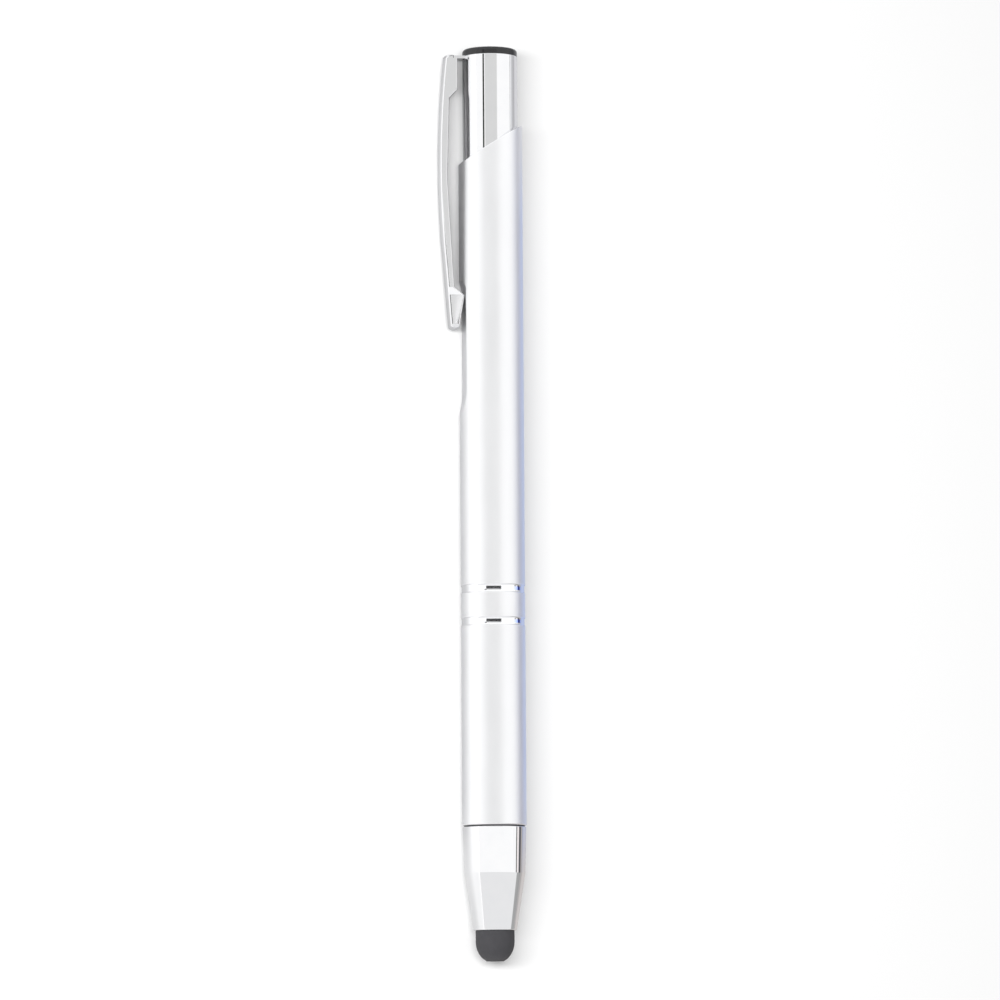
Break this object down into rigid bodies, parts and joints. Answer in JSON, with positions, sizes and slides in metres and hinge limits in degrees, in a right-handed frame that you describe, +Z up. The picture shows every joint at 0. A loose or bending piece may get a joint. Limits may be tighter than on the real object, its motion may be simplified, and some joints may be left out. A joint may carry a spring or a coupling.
{
  "type": "stylus pen",
  "caption": "Slim silver metal pen with a rubber touch-screen nib, a sprung clip and a push top that drives a ball-point refill out through the nib.",
  "frame": {"origin": "middle of the footprint of the pen as it lies on a table, on the table's surface", "axes": "+Z up from the table, +Y along the pen's axis towards the cap, -X towards the clip, which dips to the table"},
  "size_m": [0.0132, 0.143, 0.01],
  "materials": {
    "satin_aluminium": "satin anodised",
    "bright_chrome": "polished chrome plate",
    "black_gloss": "gloss black moulded plastic",
    "nib_rubber": "soft matt conductive rubber",
    "black_plastic": "matt black moulded plastic",
    "white_acetal": "white moulded acetal",
    "blue_acetal": "blue moulded acetal",
    "grey_acetal": "grey moulded acetal",
    "brass": "turned brass",
    "nickel_silver": "turned nickel silver",
    "refill_metal": "drawn metal tube",
    "spring_steel": "drawn spring wire",
    "carbide": "ground hard metal",
    "blue_ink": "oil-based writing paste",
    "clear_grease": "clear sealing grease"
  },
  "bodies": {
    "barrel": {"barrel": "satin_aluminium", "foot_bush": "brass", "cam_guide": "white_acetal"},
    "push_top": {"top_sleeve": "bright_chrome", "end_cap": "black_gloss", "push_cam": "grey_acetal", "clip_bush": "black_plastic", "clip_root": "bright_chrome"},
    "clip": {"clip": "bright_chrome"},
    "refill": {"refill_tube": "refill_metal", "refill_point": "nickel_silver", "ink_column": "blue_ink", "grease_plug": "clear_grease", "return_spring": "spring_steel", "cam_rotor": "blue_acetal"},
    "ball": {"point_ball": "carbide"},
    "washer": {"nose_washer": "black_plastic"},
    "nose": {"nose_cone": "bright_chrome", "stylus_nib": "nib_rubber", "nib_core": "brass"}
  },
  "joints": [
    {"name": "push", "type": "slide", "parent": "barrel", "child": "push_top", "axis": [0, -1, 0], "range_m": [0, 0.0055], "stiffness_N_per_m": 250, "springref_m": -0.001},
    {"name": "refill_slide", "type": "slide", "parent": "barrel", "child": "refill", "axis": [0, -1, 0], "range_m": [0, 0.0055], "deforming": ["return_spring"]},
    {"name": "ball_roll", "type": "hinge", "parent": "refill", "child": "ball", "pos_m": [0.00163, -0.0702, 0.005], "axis": [1, 0, 0], "continuous": true},
    {"name": "clip_lift", "type": "hinge", "parent": "push_top", "child": "clip", "pos_m": [-0.00376, 0.07005, 0.0026], "axis": [0.4067, 0, -0.9135], "range_deg": [0, 5], "stiffness_Nm_per_rad": 1},
    {"name": "nose_travel", "type": "slide", "parent": "barrel", "child": "washer", "axis": [0, -1, 0], "range_m": [0, 0.005]},
    {"name": "nose_turn", "type": "hinge", "parent": "washer", "child": "nose", "pos_m": [0.00163, -0.05075, 0.005], "axis": [0, 1, 0], "range_deg": [0, 1800]}
  ],
  "couplings": [
    {"joint": "refill_slide", "follows": "push", "ratio": 1},
    {"joint": "nose_turn", "follows": "nose_travel", "rad_per_m": 6282.6}
  ]
}
